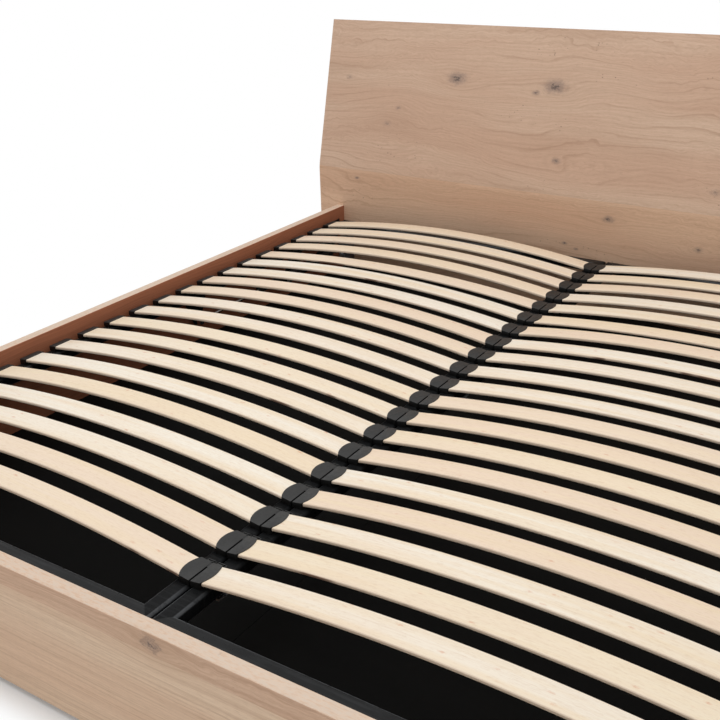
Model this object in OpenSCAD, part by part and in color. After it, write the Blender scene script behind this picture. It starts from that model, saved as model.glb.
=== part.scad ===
// Low oak bed with a lift-up sprung slat base over a storage well.
// Millimetres, +Z up, +Y towards the headboard. The origin is the middle of the footprint on the floor.

/* [Mattress space] */
// Clear width between the side rails
inner_w = 1952; // [1700:1:2100]
// Clear length from the headboard to the foot rail
inner_l = 2051; // [1950:1:2150]

/* [Rails] */
// Thickness of the rails
rail_t = 28; // [22:1:36]
// Height of the rails
rail_h = 260; // [240:1:320]
// Height of the glides that the frame stands on
glide_h = 12; // [6:1:25]
// Diameter of a glide
glide_d = 24; // [16:1:28]

/* [Headboard] */
// Thickness of the headboard panels
head_t = 28; // [22:1:36]
// How far the headboard runs past each side rail
head_over = 71; // [20:1:150]
// Height of the bend above the rails
bend_rise = 133; // [80:1:200]
// Length of the leaning panel along its slope
upper_len = 494; // [350:1:600]
// Lean of the upper panel from upright
lean = 13.9; // [6:0.1:20]
// Width of each gusset behind the bend
gusset_w = 30; // [20:1:50]
// Reach of a gusset below the bend
gusset_down = 210; // [120:1:240]
// Reach of a gusset above the bend
gusset_up = 300; // [150:1:330]

/* [Storage floor] */
// Thickness of the storage floor panels
floor_t = 12; // [8:1:16]
// Height of the floor's underside above the ground
floor_z = 40; // [36:1:60]
// Gap around each floor panel
floor_gap = 1; // [0.5:0.5:3]
// Width of the cleats under the floor's edges
cleat_w = 24; // [18:1:40]
// Height of the cleats and bearers
cleat_h = 24; // [18:1:28]
// Width of the long bearers under the floor
bearer_w = 45; // [30:1:70]
// Diameter of the feet under the bearers
bearer_foot_d = 36; // [20:1:45]

/* [Lift base tubes] */
// Width of the steel tubes
tube_w = 34; // [25:1:40]
// Height of the steel tubes
tube_h = 30; // [25:1:36]
// Wall of the steel tubes
tube_wall = 1.5; // [1.2:0.1:3]
// Outer corner radius of the tubes
tube_r = 8; // [4:0.5:9]
// Height of the tubes' top below the rails' top
tube_drop = 44; // [36:1:60]
// Gap from the side tube to the side rail
side_gap = 12; // [11:1:20]
// Gap from the foot tube to the foot rail
foot_gap = 30; // [15:1:50]
// Gap from the head tube to the headboard
head_gap = 20; // [12:1:24]
// Slit between the two bases
mid_slit = 3; // [1:0.5:8]

/* [Slats] */
// Slats in each bank
slat_n = 20; // [12:1:22]
// Width of a slat
slat_w = 53; // [40:1:60]
// Thickness of a slat
slat_t = 8; // [6:0.5:10]
// Rise of a slat at mid span
slat_rise = 36; // [15:1:45]
// Distance of the first slat's middle from the headboard
slat_first = 123; // [110:1:160]
// Distance of the last slat's middle from the foot rail
slat_last = 161; // [120:1:200]

/* [Slat holders] */
// Wall of the holders above and below a slat
holder_wall = 1.7; // [1.4:0.1:3]
// Play around a slat in its holder
holder_play = 0.3; // [0.1:0.1:0.6]
// Reach of a holder over the slat's edges on each side
holder_side = 2.5; // [1.5:0.5:5]
// Width of a side holder
side_holder_w = 22; // [16:1:30]
// Width of one half of a centre holder
mid_holder_w = 29; // [24:1:32]
// Bulge of a centre holder's front over the slat
mid_holder_bulge = 8; // [3:1:10]

/* [Lift hinge] */
// Distance of the hinge axis from the headboard
pivot_back = 60; // [56:1:80]
// Radius of the hinge pins
pivot_r = 6; // [4:0.5:8]
// Radial running clearance of pins and rods
run_fit = 0.05; // [0.02:0.01:0.1]
// Gap between faces that move past each other
move_gap = 0.4; // [0.3:0.1:0.6]
// Opening angle of the lift base
lift_max = 45; // [30:1:45]
// Thickness of the hinge and lug plates
plate_t = 4; // [3:0.5:4.5]
// Reach of the hinge plate behind the hinge axis
plate_back = 24; // [20:1:28]
// Reach of the hinge plate in front of the hinge axis
plate_fwd = 312; // [280:1:340]
// Height of the hinge plate above the hinge axis
plate_up = 20; // [16:1:24]
// Depth of the hinge plate below the hinge axis
plate_down = 128; // [120:1:140]
// Length of the hinge plate's sloping nose
plate_nose = 70; // [50:1:90]
// Bar left round the window in the hinge plate
plate_bar = 36; // [30:1:44]

/* [Gas struts] */
// Distance of the strut's rail stud in front of the hinge axis
strut_b_fwd = 42; // [30:1:60]
// Depth of the strut's rail stud below the hinge axis
strut_b_down = 74; // [66:1:84]
// Distance of the strut's base stud in front of the hinge axis
strut_a_fwd = 752; // [650:1:800]
// Depth of the strut's base stud below the hinge axis
strut_a_down = 94; // [84:1:104]
// Radius of the strut's cylinder
strut_r = 11; // [9:0.5:12]
// Radius of the strut's rod
rod_r = 5; // [3:0.5:6]
// Length of the cylinder from its stud
cyl_len = 430; // [380:1:500]
// Length of rod inside the cylinder at rest
rod_in = 330; // [200:1:350]
// Radius of the strut studs
stud_r = 4; // [3:0.5:5]
// Width of the strut's eyes
eye_w = 12; // [8:1:14]

/* [Small fittings] */
// Half length of the strut lugs on the side tubes
lug_half = 46; // [36:1:60]
// Radius of the bolt heads
bolt_r = 8; // [5:0.5:9]
// Height of the bolt heads
bolt_h = 3.5; // [2:0.5:4]
// Leg of the corner angles
angle_leg = 40; // [30:1:60]
// Height of the corner angles
angle_h = 90; // [60:1:110]
// Width of each rest bracket under the foot tube
rest_w = 70; // [40:1:120]
// Height of the rest brackets
rest_h = 50; // [36:1:70]
// Depth of the corner angles' middle below the rails' top
angle_drop = 150; // [140:1:160]
// Distance of the end glides and bearer feet from the frame's ends
glide_inset = 60; // [40:1:120]
// Distance of the bearers' end feet from the frame's ends
foot_inset = 250; // [150:10:400]
// Thickness of the rest pads
pad_t = 3; // [2:0.5:6]

/* [Hidden] */
$fn = 96;
e = 0.01;
rail_z1 = glide_h + rail_h;
half_w = inner_w / 2;
out_w = half_w + rail_t;
head_w = out_w + head_over;
bend_z = rail_z1 + bend_rise;
head_reach = upper_len * sin(lean) + head_t * cos(lean);
total_l = rail_t + inner_l + max(head_reach, head_t);
foot_out = -total_l / 2;
foot_in = foot_out + rail_t;
head_y = foot_in + inner_l;
mitre = head_t * tan(lean / 2);
floor_top = floor_z + floor_t;
tube_z1 = rail_z1 - tube_drop;
tube_z0 = tube_z1 - tube_h;
side_x1 = half_w - side_gap;
side_x0 = side_x1 - tube_w;
mid_x0 = mid_slit / 2;
mid_x1 = mid_x0 + tube_w;
foot_y0 = foot_in + foot_gap;
foot_y1 = foot_y0 + tube_w;
head_y1 = head_y - head_gap;
head_y0 = head_y1 - tube_w;
pitch = (inner_l - slat_first - slat_last) / (slat_n - 1);
slat_end = side_x1 - holder_wall * 2 - holder_play;
side_holder_x1 = slat_end + holder_play + holder_wall * 2;
slat_start = mid_x0 + holder_play + holder_wall * 2;
slat_span = slat_end - slat_start;
slat_z = tube_z1 + holder_wall + holder_play;
slat_rad = (slat_rise * slat_rise + slat_span * slat_span / 4) / (2 * slat_rise);
slat_mid = (slat_end + slat_start) / 2;
slope = 4 * slat_rise / slat_span;
holder_l = slat_w + 2 * (holder_play + holder_side);
low_top = slat_z + slat_t + holder_play + holder_wall;
pivot_y = head_y - pivot_back;
pivot_z = (tube_z0 + tube_z1) / 2;
strut_x = side_x1 - strut_r - move_gap * 2;
b_y = pivot_y - strut_b_fwd;
b_z = pivot_z - strut_b_down;
a_y = pivot_y - strut_a_fwd;
a_z = pivot_z - strut_a_down;
strut_len = sqrt((b_y - a_y) * (b_y - a_y) + (b_z - a_z) * (b_z - a_z));
strut_tilt = atan2(b_z - a_z, b_y - a_y);
plate_x = half_w - plate_t;
lug_x1 = side_x1 + plate_t;
oak = [0.74, 0.62, 0.52];
birch = [0.93, 0.86, 0.76];
black = [0.12, 0.12, 0.13];
steel = [0.2, 0.22, 0.24];
zinc = [0.6, 0.61, 0.63];

// A box between two corners.
module span(a, b) {
    translate(a) cube([b[0] - a[0], b[1] - a[1], b[2] - a[2]]);
}

// A profile drawn in Y and Z, made solid from x = x0 to x = x1.
module along_x(x0, x1) {
    translate([x0, 0, 0]) rotate([90, 0, 90]) linear_extrude(x1 - x0) children();
}

// A profile drawn in X and Z, made solid from y = y0 to y = y1.
module along_y(y0, y1) {
    translate([0, y1, 0]) rotate([90, 0, 0]) linear_extrude(y1 - y0) children();
}

// A square with round corners, from its lower corner.
module rounded(w, h, r) {
    translate([r, 0]) square([w - 2 * r, h]);
    translate([0, r]) square([w, h - 2 * r]);
    for (x = [r, w - r], y = [r, h - r]) translate([x, y]) circle(r);
}

// The section of a steel tube.
module tube_section() {
    difference() {
        rounded(tube_w, tube_h, tube_r);
        translate([tube_wall, tube_wall])
            rounded(tube_w - 2 * tube_wall, tube_h - 2 * tube_wall, tube_r - tube_wall);
    }
}

// ---- Timber ----

module headboard_upper() {
    color(oak) along_x(-head_w, head_w) translate([head_y, bend_z]) polygon([
        [0, 0],
        [head_t, -mitre],
        [upper_len * sin(lean) + head_t * cos(lean), upper_len * cos(lean) - head_t * sin(lean)],
        [upper_len * sin(lean), upper_len * cos(lean)]]);
}

module headboard_lower() {
    color(oak) along_x(-head_w, head_w) translate([head_y, 0]) polygon([
        [0, glide_h], [head_t, glide_h], [head_t, bend_z - mitre], [0, bend_z]]);
}

module headboard_gussets() {
    color(oak) for (k = [-1, 0, 1])
        along_x(k * head_w * 0.7 - gusset_w / 2, k * head_w * 0.7 + gusset_w / 2)
            translate([head_y + head_t, bend_z - mitre]) polygon([
                [0, 0],
                [0, -gusset_down],
                [8, -gusset_down],
                [gusset_up * sin(lean) + 8 * cos(lean), gusset_up * cos(lean) - 8 * sin(lean)],
                [gusset_up * sin(lean), gusset_up * cos(lean)]]);
}

module side_rail() {
    color(oak) span([half_w, foot_in, glide_h], [out_w, head_y, rail_z1]);
}

module foot_rail() {
    color(oak) span([-out_w, foot_out, glide_h], [out_w, foot_in, rail_z1]);
}

module corner_angle(y, s) {
    z0 = rail_z1 - angle_drop - angle_h / 2;
    span([half_w - 3, min(y, y + s * angle_leg), z0],
         [half_w, max(y, y + s * angle_leg), z0 + angle_h]);
    span([half_w - angle_leg, min(y, y + s * 3), z0], [half_w, max(y, y + s * 3), z0 + angle_h]);
}

module corner_angles() {
    color(zinc) for (m = [0, 1]) mirror([m, 0, 0]) {
        corner_angle(foot_in, 1);
        corner_angle(head_y, -1);
    }
}

module corner_bolts() {
    color(zinc) for (m = [0, 1], k = [-1, 1]) mirror([m, 0, 0])
        for (y = [foot_in + angle_leg * 0.6, head_y - angle_leg * 0.6])
            translate([half_w - 3 - bolt_h, y, rail_z1 - angle_drop + k * angle_h / 4])
                rotate([0, 90, 0]) cylinder(r = bolt_r * 0.75, h = bolt_h);
}

module glides() {
    color(black) for (m = [0, 1]) mirror([m, 0, 0]) {
        for (y = [foot_in + glide_inset, (foot_in + head_y) / 2, head_y - glide_inset])
            translate([half_w + rail_t / 2, y, 0]) cylinder(d = glide_d, h = glide_h, $fn = 32);
        translate([head_w - glide_inset, head_y + head_t / 2, 0])
            cylinder(d = glide_d, h = glide_h, $fn = 32);
        translate([half_w / 2, foot_out + rail_t / 2, 0])
            cylinder(d = glide_d, h = glide_h, $fn = 32);
    }
}

// ---- Storage floor ----

module floor_panel() {
    color(black) span([floor_gap / 2, foot_in + floor_gap, floor_z],
                      [half_w - floor_gap, head_y - floor_gap, floor_top]);
}

module floor_cleats_side() {
    color(oak) for (m = [0, 1]) mirror([m, 0, 0])
        span([half_w - cleat_w, foot_in, floor_z - cleat_h], [half_w, head_y, floor_z]);
}

module floor_cleats_end() {
    color(oak) for (y = [foot_in, head_y - cleat_w])
        span([-half_w + cleat_w, y, floor_z - cleat_h], [half_w - cleat_w, y + cleat_w, floor_z]);
}

module floor_bearers() {
    color(oak) for (x = [-half_w / 2, 0, half_w / 2])
        span([x - bearer_w / 2, foot_in + cleat_w, floor_z - cleat_h],
             [x + bearer_w / 2, head_y - cleat_w, floor_z]);
}

module bearer_feet() {
    color(black) for (x = [-half_w / 2, 0, half_w / 2])
        for (y = [foot_in + foot_inset, (foot_in + head_y) / 2, head_y - foot_inset])
            translate([x, y, 0]) cylinder(d = bearer_foot_d, h = floor_z - cleat_h, $fn = 32);
}

// ---- Rest for the lift base ----

module rest_brackets() {
    top = tube_z0 - move_gap - pad_t;
    color(steel) for (m = [0, 1]) mirror([m, 0, 0]) {
        span([half_w / 2 - rest_w / 2, foot_in, top - rest_h], [half_w / 2 + rest_w / 2, foot_in + plate_t, top]);
        span([half_w / 2 - rest_w / 2, foot_in, top - plate_t],
             [half_w / 2 + rest_w / 2, foot_y1 - tube_r, top]);
    }
}

module rest_pads() {
    top = tube_z0 - move_gap;
    color(black) for (m = [0, 1]) mirror([m, 0, 0])
        span([half_w / 2 - rest_w / 2 + pad_t, foot_y0 + tube_r, top - pad_t],
             [half_w / 2 + rest_w / 2 - pad_t, foot_y1 - tube_r * 1.5, top]);
}

// ---- Lift hinge ----

module hinge_plate() {
    color(steel) {
        difference() {
            along_x(plate_x, half_w) polygon([
                [pivot_y + plate_back, pivot_z + plate_up],
                [pivot_y - plate_fwd + plate_nose, pivot_z + plate_up * 0.3],
                [pivot_y - plate_fwd, pivot_z - plate_down + plate_bar],
                [pivot_y - plate_fwd, pivot_z - plate_down],
                [pivot_y - strut_b_fwd, pivot_z - strut_b_down - plate_back],
                [pivot_y + plate_back, pivot_z - plate_back]]);
            along_x(plate_x - 1, half_w + 1) polygon([
                [pivot_y - strut_b_fwd - plate_bar * 1.5, pivot_z + plate_up * 0.6 - plate_bar],
                [pivot_y - plate_fwd + plate_nose + plate_bar,
                    pivot_z + plate_up * 0.3 - plate_bar],
                [pivot_y - plate_fwd + plate_nose + plate_bar / 2,
                    pivot_z - plate_down + plate_bar],
                [pivot_y - strut_b_fwd - plate_bar * 1.5,
                    pivot_z - strut_b_down - plate_back + plate_bar]]);
        }
    }
}

module hinge_pin() {
    color(zinc) {
        // Hinge pin with its shoulder.
        translate([lug_x1 + move_gap, pivot_y, pivot_z]) rotate([0, 90, 0])
            cylinder(r = pivot_r + 4, h = plate_x - lug_x1 - move_gap);
        translate([side_x1 + move_gap, pivot_y, pivot_z]) rotate([0, 90, 0])
            cylinder(r = pivot_r, h = plate_x - side_x1 - move_gap);
    }
}

module strut_stud() {
    // Stud for the strut, between its head and its shoulder.
    color(zinc) {
        translate([strut_x - eye_w / 2 - move_gap, b_y, b_z]) rotate([0, 90, 0])
            cylinder(r = stud_r, h = plate_x - strut_x + eye_w / 2 + move_gap);
        translate([strut_x - eye_w / 2 - move_gap - 3, b_y, b_z]) rotate([0, 90, 0])
            cylinder(r = stud_r + 3, h = 3);
        translate([strut_x + eye_w / 2 + move_gap, b_y, b_z]) rotate([0, 90, 0])
            cylinder(r = stud_r + 3, h = plate_x - strut_x - eye_w / 2 - move_gap);
    }
}

module hinge_bolts() {
    color(zinc) for (m = [0, 1]) mirror([m, 0, 0])
        for (p = [[plate_nose * 1.5 - plate_fwd, plate_up * 0.4 - plate_bar / 2],
                  [plate_bar * 0.65 - plate_fwd, plate_bar * 0.5 - plate_down],
                  [-strut_b_fwd - plate_bar * 0.6, -plate_bar]])
            translate([plate_x - bolt_h, pivot_y + p[0], pivot_z + p[1]])
                rotate([0, 90, 0]) cylinder(r = bolt_r, h = bolt_h);
}

// ---- Gas strut: X runs along the strut from the rail stud ----

module at_strut() {
    translate([strut_x, b_y, b_z]) rotate([strut_tilt, 0, 0]) rotate([0, 0, -90]) children();
}

module strut_cylinder() {
    color(black) at_strut() difference() {
        union() {
            translate([0, eye_w / 2, 0]) rotate([90, 0, 0]) cylinder(r = strut_r - 1, h = eye_w);
            translate([0, -eye_w / 2, -6]) cube([24, eye_w, 12]);
            translate([22, 0, 0]) rotate([0, 90, 0]) cylinder(r = strut_r, h = cyl_len - 22);
        }
        translate([0, eye_w / 2 + 1, 0]) rotate([90, 0, 0])
            cylinder(r = stud_r + run_fit, h = eye_w + 2);
        translate([cyl_len - rod_in - 2, 0, 0]) rotate([0, 90, 0])
            cylinder(r = rod_r + run_fit, h = rod_in + 3);
    }
}

module strut_rod() {
    color(zinc) at_strut() {
        translate([cyl_len - rod_in, 0, 0]) rotate([0, 90, 0])
            cylinder(r = rod_r, h = strut_len - cyl_len + rod_in);
        translate([strut_len, eye_w / 2, 0]) rotate([90, 0, 0])
            cylinder(r = strut_r - 1, h = eye_w);
        translate([strut_len - 24, 0, 0]) rotate([0, 90, 0]) cylinder(r = (rod_r + eye_w / 2) / 2, h = 20);
    }
}

// ---- Lift base ----

module pivot_lug() {
    color(steel) difference() {
        along_x(side_x1, lug_x1) translate([pivot_y - 44, tube_z0 + 1])
            rounded(44 + 24, tube_h - 2, 6);
        translate([side_x1 - 1, pivot_y, pivot_z]) rotate([0, 90, 0])
            cylinder(r = pivot_r + run_fit, h = plate_t + 2);
    }
}

module strut_lug() {
    color(steel) {
        along_x(side_x1, lug_x1) polygon([
            [a_y - lug_half, tube_z1 - tube_r], [a_y - lug_half, tube_z0 - tube_r],
            [a_y - strut_r, a_z - strut_r], [a_y + strut_r, a_z - strut_r],
            [a_y + lug_half, tube_z0 - tube_r], [a_y + lug_half, tube_z1 - tube_r]]);
        translate([strut_x + eye_w / 2 + move_gap, a_y, a_z]) rotate([0, 90, 0])
            cylinder(r = stud_r + 2, h = side_x1 - strut_x - eye_w / 2 - move_gap + 1);
    }
}

module lug_bolts() {
    color(zinc) for (m = [0, 1], k = [-lug_half * 0.6, lug_half * 0.6]) mirror([m, 0, 0])
        translate([lug_x1, a_y + k, pivot_z]) rotate([0, 90, 0])
            cylinder(r = bolt_r * 0.75, h = bolt_h);
}

// Keeps what lies over a plan outline, to cut the tubes' mitres.
module mitred(outline) {
    intersection() {
        children();
        translate([0, 0, tube_z0 - 1]) linear_extrude(tube_h + 2) polygon(outline);
    }
}

module base_side() {
    color(steel) mitred([[side_x1, foot_y0], [side_x1, head_y1], [side_x0, head_y0],
                         [side_x0, foot_y1]])
        along_y(foot_y0, head_y1) translate([side_x0, tube_z0]) tube_section();
}

module base_centre() {
    color(steel) mitred([[mid_x0, foot_y0], [mid_x1, foot_y1], [mid_x1, head_y0],
                         [mid_x0, head_y1]])
        along_y(foot_y0, head_y1) translate([mid_x0, tube_z0]) tube_section();
}

module base_foot() {
    color(steel) mitred([[mid_x0, foot_y0], [side_x1, foot_y0], [side_x0, foot_y1],
                         [mid_x1, foot_y1]])
        along_x(mid_x0, side_x1) translate([foot_y0, tube_z0]) tube_section();
}

module base_head() {
    color(steel) mitred([[mid_x1, head_y0], [side_x0, head_y0], [side_x1, head_y1],
                         [mid_x0, head_y1]])
        along_x(mid_x0, side_x1) translate([head_y0, tube_z0]) tube_section();
}

module base_joiners() {
    color(zinc) for (y = [foot_y1 + 120, (foot_in + head_y) / 2, head_y0 - 120])
        span([-mid_x1, y - 25, tube_z0 - plate_t], [mid_x1, y + 25, tube_z0]);
}

// ---- Slats and their holders ----

// The bow of a slat in X and Z; grow widens it all round.
module slat_bow(grow) {
    intersection() {
        translate([slat_mid, slat_z + slat_rise - slat_rad]) difference() {
            circle(r = slat_rad + slat_t + grow, $fn = 720);
            circle(r = slat_rad - grow, $fn = 720);
        }
        translate([slat_start - grow, slat_z - 5])
            square([slat_span + 2 * grow, slat_rise + slat_t + 20]);
    }
}

module slats() {
    color(birch) for (k = [0 : slat_n - 1]) {
        y = head_y - slat_first - k * pitch;
        along_y(y - slat_w / 2, y + slat_w / 2) slat_bow(0);
    }
}

module side_holders() {
    x1 = side_holder_x1;
    x0 = x1 - side_holder_w;
    color(black) for (k = [0 : slat_n - 1]) {
        y = head_y - slat_first - k * pitch;
        difference() {
            along_y(y - holder_l / 2, y + holder_l / 2) polygon([
                [x0, tube_z1], [x1, tube_z1], [x1, low_top], [x0, low_top + side_holder_w * slope]]);
            along_y(y - slat_w / 2 - holder_play, y + slat_w / 2 + holder_play)
                slat_bow(holder_play);
        }
    }
}

module centre_holders() {
    x0 = mid_x0;
    x1 = x0 + mid_holder_w;
    bulge_r = (holder_l * holder_l / 4 + mid_holder_bulge * mid_holder_bulge) / (2 * mid_holder_bulge);
    color(black) for (k = [0 : slat_n - 1]) {
        y = head_y - slat_first - k * pitch;
        difference() {
            intersection() {
                along_y(y - holder_l / 2, y + holder_l / 2) polygon([
                    [x0, tube_z1], [x1, tube_z1], [x1, low_top + mid_holder_w * slope],
                    [x0, low_top]]);
                translate([x1 - bulge_r, y, tube_z1 - 1]) cylinder(r = bulge_r, h = 40, $fn = 180);
            }
            along_y(y - slat_w / 2 - holder_play, y + slat_w / 2 + holder_play)
                slat_bow(holder_play);
        }
    }
}

headboard_upper();
headboard_lower();
headboard_gussets();
mirror([1, 0, 0]) side_rail();  // side_rail_left
side_rail();  // side_rail_right
foot_rail();
corner_angles();
corner_bolts();
glides();
mirror([1, 0, 0]) floor_panel();  // floor_panel_left
floor_panel();  // floor_panel_right
floor_cleats_side();
floor_cleats_end();
floor_bearers();
bearer_feet();
rest_brackets();
rest_pads();
mirror([1, 0, 0]) hinge_plate();  // hinge_plate_left
hinge_plate();  // hinge_plate_right
hinge_bolts();
for (m = [0, 1]) mirror([m, 0, 0]) hinge_pin();  // hinge_pins
for (m = [0, 1]) mirror([m, 0, 0]) strut_stud();  // strut_studs
mirror([1, 0, 0]) strut_cylinder();  // strut_cylinder_left
strut_cylinder();  // strut_cylinder_right
mirror([1, 0, 0]) strut_rod();  // strut_rod_left
strut_rod();  // strut_rod_right
mirror([1, 0, 0]) pivot_lug();  // pivot_lug_left
pivot_lug();  // pivot_lug_right
mirror([1, 0, 0]) strut_lug();  // strut_lug_left
strut_lug();  // strut_lug_right
lug_bolts();
mirror([1, 0, 0]) base_side();  // base_side_left
base_side();  // base_side_right
mirror([1, 0, 0]) base_centre();  // base_centre_left
base_centre();  // base_centre_right
mirror([1, 0, 0]) base_foot();  // base_foot_left
base_foot();  // base_foot_right
mirror([1, 0, 0]) base_head();  // base_head_left
base_head();  // base_head_right
base_joiners();
mirror([1, 0, 0]) slats();  // slats_left
slats();  // slats_right
mirror([1, 0, 0]) side_holders();  // side_holders_left
side_holders();  // side_holders_right
mirror([1, 0, 0]) centre_holders();  // centre_holders_left
centre_holders();  // centre_holders_right
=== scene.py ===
"""Oak lift-up bed with two banks of bowed slats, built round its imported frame."""
import math

import bmesh
import bpy
from mathutils import Matrix, Vector


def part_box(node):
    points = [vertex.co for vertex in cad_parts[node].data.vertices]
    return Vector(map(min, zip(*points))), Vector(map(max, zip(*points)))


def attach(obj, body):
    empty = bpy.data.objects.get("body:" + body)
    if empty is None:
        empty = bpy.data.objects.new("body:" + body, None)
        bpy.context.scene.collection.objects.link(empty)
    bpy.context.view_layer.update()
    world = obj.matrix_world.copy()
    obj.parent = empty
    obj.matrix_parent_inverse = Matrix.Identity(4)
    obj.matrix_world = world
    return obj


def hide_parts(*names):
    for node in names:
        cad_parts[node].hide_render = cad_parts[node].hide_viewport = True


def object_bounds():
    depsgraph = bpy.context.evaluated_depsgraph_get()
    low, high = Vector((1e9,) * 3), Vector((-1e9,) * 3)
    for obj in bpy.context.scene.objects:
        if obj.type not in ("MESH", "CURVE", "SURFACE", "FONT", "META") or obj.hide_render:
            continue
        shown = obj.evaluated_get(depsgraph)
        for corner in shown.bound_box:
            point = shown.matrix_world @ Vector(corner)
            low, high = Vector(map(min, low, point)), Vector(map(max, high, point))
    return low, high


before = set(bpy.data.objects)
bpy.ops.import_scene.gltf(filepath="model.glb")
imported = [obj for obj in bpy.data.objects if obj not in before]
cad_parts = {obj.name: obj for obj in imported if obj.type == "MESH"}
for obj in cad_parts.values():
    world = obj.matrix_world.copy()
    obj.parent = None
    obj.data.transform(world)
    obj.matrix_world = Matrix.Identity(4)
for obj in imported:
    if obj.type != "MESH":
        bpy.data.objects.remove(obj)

bl_info = {
    "name": "Lift-up Oak Bed",
    "version": (1, 0, 0),
    "blender": (4, 5, 0),
    "location": "View3D > Sidebar > Oak Bed",
    "description": "Builds an oak bed with a splayed headboard and bowed slat bases",
    "category": "Object",
}

CAD_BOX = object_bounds()
LIFT = "lift_base"
BED = "bed_frame"

# Places read from the frame, in metres.
FOOT_LOW, FOOT_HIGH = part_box("foot_rail")
RAIL_LOW, RAIL_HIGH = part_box("side_rail_right")
LOWER_LOW, LOWER_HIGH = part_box("headboard_lower")
HEAD_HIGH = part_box("headboard_upper")[1]
TUBE_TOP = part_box("base_centre_right")[1][2]
INNER = RAIL_LOW[0]
RAIL_TOP = RAIL_HIGH[2]
FOOT_IN = FOOT_HIGH[1]
HEAD_FACE = LOWER_LOW[1]
BEND = LOWER_HIGH[2]

RAIL_THICK = 0.028  # a side rail's thickness; its knots lie on its outer face
STAVE = 0.040       # height of a rail's top stave
JOINT = 0.0005      # half the joint under it
SKEW = 0.35         # how far the grain is drawn aside per metre of depth
LINES = 30.0        # growth lines in a metre across a board
WELD = 1e-6         # vertices as near as this are one

# Holders' caps: height, rounding of the top edge, and a side cap's corners in plan.
CENTRE_CAP, CENTRE_ROUND = 0.0112, 0.0013
SIDE_CAP, SIDE_ROUND, SIDE_CORNER = 0.0118, 0.0014, 0.004
# Behind a centre holder: reach and top of its plate, then width, pitch and top of a rib.
PLATE, PLATE_TOP = 0.013, 0.0035
RIB, RIB_PITCH, RIB_TOP = 0.0018, 0.0042, 0.0056
SINK = 0.0001  # how far the ribs are sunk into the plate


# ---------------- settings

def number(name, description, default, unit="NONE"):
    """A setting for a number."""
    return bpy.props.FloatProperty(name=name, description=description, default=default,
                                   unit=unit)


def length_of(name, description, default):
    """A setting in metres."""
    return number(name, description, default, "LENGTH")


def tone_of(name, description, default):
    """A setting for a colour."""
    return bpy.props.FloatVectorProperty(name=name, description=description,
                                         default=default, subtype="COLOR")


class PanelSettings(bpy.types.PropertyGroup):
    lean: bpy.props.FloatProperty(
        name="Lean", description="Lean of the upper headboard from upright",
        default=math.radians(13.9), subtype="ANGLE")
    thickness: length_of("Thickness", "Thickness of the oak panels", 0.028)
    bevel: length_of("Edge Round", "Rounding of the oak edges", 0.0016)
    ridge: length_of("Ridge Round", "Radius of the round where the headboard bends", 0.12)
    oak: tone_of("Oak", "Main tone of the pale oiled oak", (0.808, 0.600, 0.427))
    head: tone_of("Headboard Oak", "Main tone of the headboard's oak", (0.636, 0.449, 0.329))
    # The sanded-edge tone is a painted sheen: top edges are painted paler where the light
    # glances off them.
    sheened: tone_of("Sanded Edge", "Tone of the oak's sanded top edges", (0.638, 0.544, 0.452))
    inner: tone_of("Inner Face", "Tone of the side rails' stained inner faces",
                   (0.40, 0.145, 0.073))


class SlatSettings(bpy.types.PropertyGroup):
    count: bpy.props.IntProperty(
        name="Count", description="Slats in each bank", default=20, min=2)
    width: length_of("Width", "Width of a slat", 0.053)
    thickness: length_of("Thickness", "Thickness of a slat", 0.008)
    rise: length_of("Rise", "Rise of a slat at mid span", 0.036)
    edge: length_of("Edge Round", "Rounding of a slat's long edges", 0.0028)
    birch: tone_of("Birch", "Main tone of the bonded birch", (0.862, 0.765, 0.634))


class HolderSettings(bpy.types.PropertyGroup):
    length: length_of("Length", "Length of a holder along the bed", 0.0586)
    bulge: length_of("Bulge", "Bulge of a centre holder's front over the slat", 0.008)
    black: tone_of("Black", "Tone of the moulded plastic", (0.015, 0.015, 0.0145))


class SteelSettings(bpy.types.PropertyGroup):
    coat: tone_of("Coat", "Tone of the tubes' powder coat", (0.0065, 0.0068, 0.0072))
    zinc: tone_of("Zinc", "Tone of the plated fixings", (0.55, 0.56, 0.58))


class StudioSettings(bpy.types.PropertyGroup):
    lens: number("Lens", "Focal length of the camera in millimetres", 50.72)
    sky: number("Sky", "Strength of the soft light from all round", 0.60)
    glow: number("Floor Glow", "Lift that whitens the floor as seen", 0.11)
    melt: length_of("Floor Melt", "Distance from the bed at which the floor turns white", 0.065)
    lamp: number("Lamp", "Power of the soft overhead lamp in watts", 50.0)


# ---------------- node helpers

class Wire:
    """A node's output that takes + - * / and abs(), each of them a Math node."""

    def __init__(self, socket):
        self.socket = socket

    def __add__(self, other):
        return calc("ADD", self, other)

    def __sub__(self, other):
        return calc("SUBTRACT", self, other)

    def __rsub__(self, other):
        return calc("SUBTRACT", other, self)

    def __mul__(self, other):
        return calc("MULTIPLY", self, other)

    def __truediv__(self, other):
        return calc("DIVIDE", self, other)

    def __abs__(self):
        return calc("ABSOLUTE", self)


def tree_of(*values):
    """The node tree of the first value that is a wire or a node."""
    return next(v.socket.id_data if isinstance(v, Wire) else v.id_data for v in values
                if isinstance(v, (Wire, bpy.types.Node)))


def feed(made, key, value):
    """Links a node's input to a wire, a socket or a node's first output, or sets it."""
    if isinstance(value, Wire):
        value = value.socket
    elif isinstance(value, bpy.types.Node):
        value = value.outputs[0]
    if isinstance(value, bpy.types.NodeSocket):
        made.id_data.links.new(value, made.inputs[key])
    else:
        made.inputs[key].default_value = value


def node(tree, kind, inputs=None, **settings):
    """Adds a node with its settings and inputs."""
    made = tree.nodes.new(kind)
    for key, value in settings.items():
        setattr(made, key, value)
    for key, value in (inputs or {}).items():
        feed(made, key, value)
    return made


def out(made, key=0):
    """One of a node's outputs as a wire."""
    return Wire(made.outputs[key])


def calc(operation, *values):
    """The result of a Math node."""
    return out(node(tree_of(*values), "ShaderNodeMath", dict(enumerate(values)),
                    operation=operation))


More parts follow.
